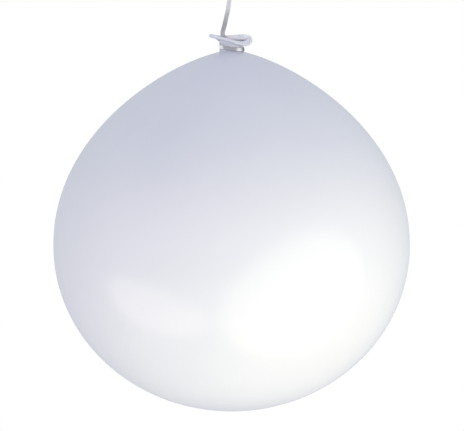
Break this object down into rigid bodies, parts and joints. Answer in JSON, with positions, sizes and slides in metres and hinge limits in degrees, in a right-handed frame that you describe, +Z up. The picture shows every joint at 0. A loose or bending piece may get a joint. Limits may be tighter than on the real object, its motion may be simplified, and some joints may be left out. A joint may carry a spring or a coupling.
{
  "type": "latex balloon",
  "caption": "Round inflated latex balloon that hangs neck up on a flat ribbon, with a clamped neck, a stopper and a floppy rolled mouth.",
  "frame": {"origin": "inside top of the hanging loop, where a hook carries it", "axes": "+Z up, +X to the right and +Y to the back, seen from the front"},
  "size_m": [0.4, 0.4, 0.5235],
  "materials": {
    "latex_skin": "stretched thin, soft satin sheen",
    "latex_neck": "unstretched, matte with a faint sheen",
    "stopper_plastic": "moulded, milky",
    "ring_metal": "polished",
    "ribbon": "glossy, finely ribbed along its length"
  },
  "bodies": {
    "loop": {"hang_loop": "ribbon"},
    "upper_knot": {"loop_knot": "ribbon"},
    "ribbon": {"ribbon": "ribbon"},
    "lower_knot": {"stop_knot": "ribbon"},
    "balloon": {"envelope": "latex_skin", "neck_sleeve": "latex_neck", "mouth_skirt": "latex_neck", "rolled_lip": "latex_neck", "neck_stopper": "stopper_plastic", "clamp_ring": "ring_metal"}
  },
  "joints": [
    {"name": "sway_front", "type": "hinge", "parent": "loop", "child": "upper_knot", "pos_m": [0, 0, -0.04], "axis": [1, 0, 0], "range_deg": [-25, 25]},
    {"name": "sway_side", "type": "hinge", "parent": "upper_knot", "child": "ribbon", "pos_m": [0, 0, -0.04], "axis": [0, 1, 0], "range_deg": [-25, 25]},
    {"name": "spin", "type": "hinge", "parent": "ribbon", "child": "lower_knot", "pos_m": [0, 0, -0.119], "axis": [0, 0, 1], "range_deg": [-180, 180], "deforming": ["ribbon"]},
    {"name": "tilt", "type": "hinge", "parent": "lower_knot", "child": "balloon", "pos_m": [0, 0, -0.119], "axis": [0, 1, 0], "range_deg": [-12, 2], "deforming": ["ribbon"]}
  ]
}
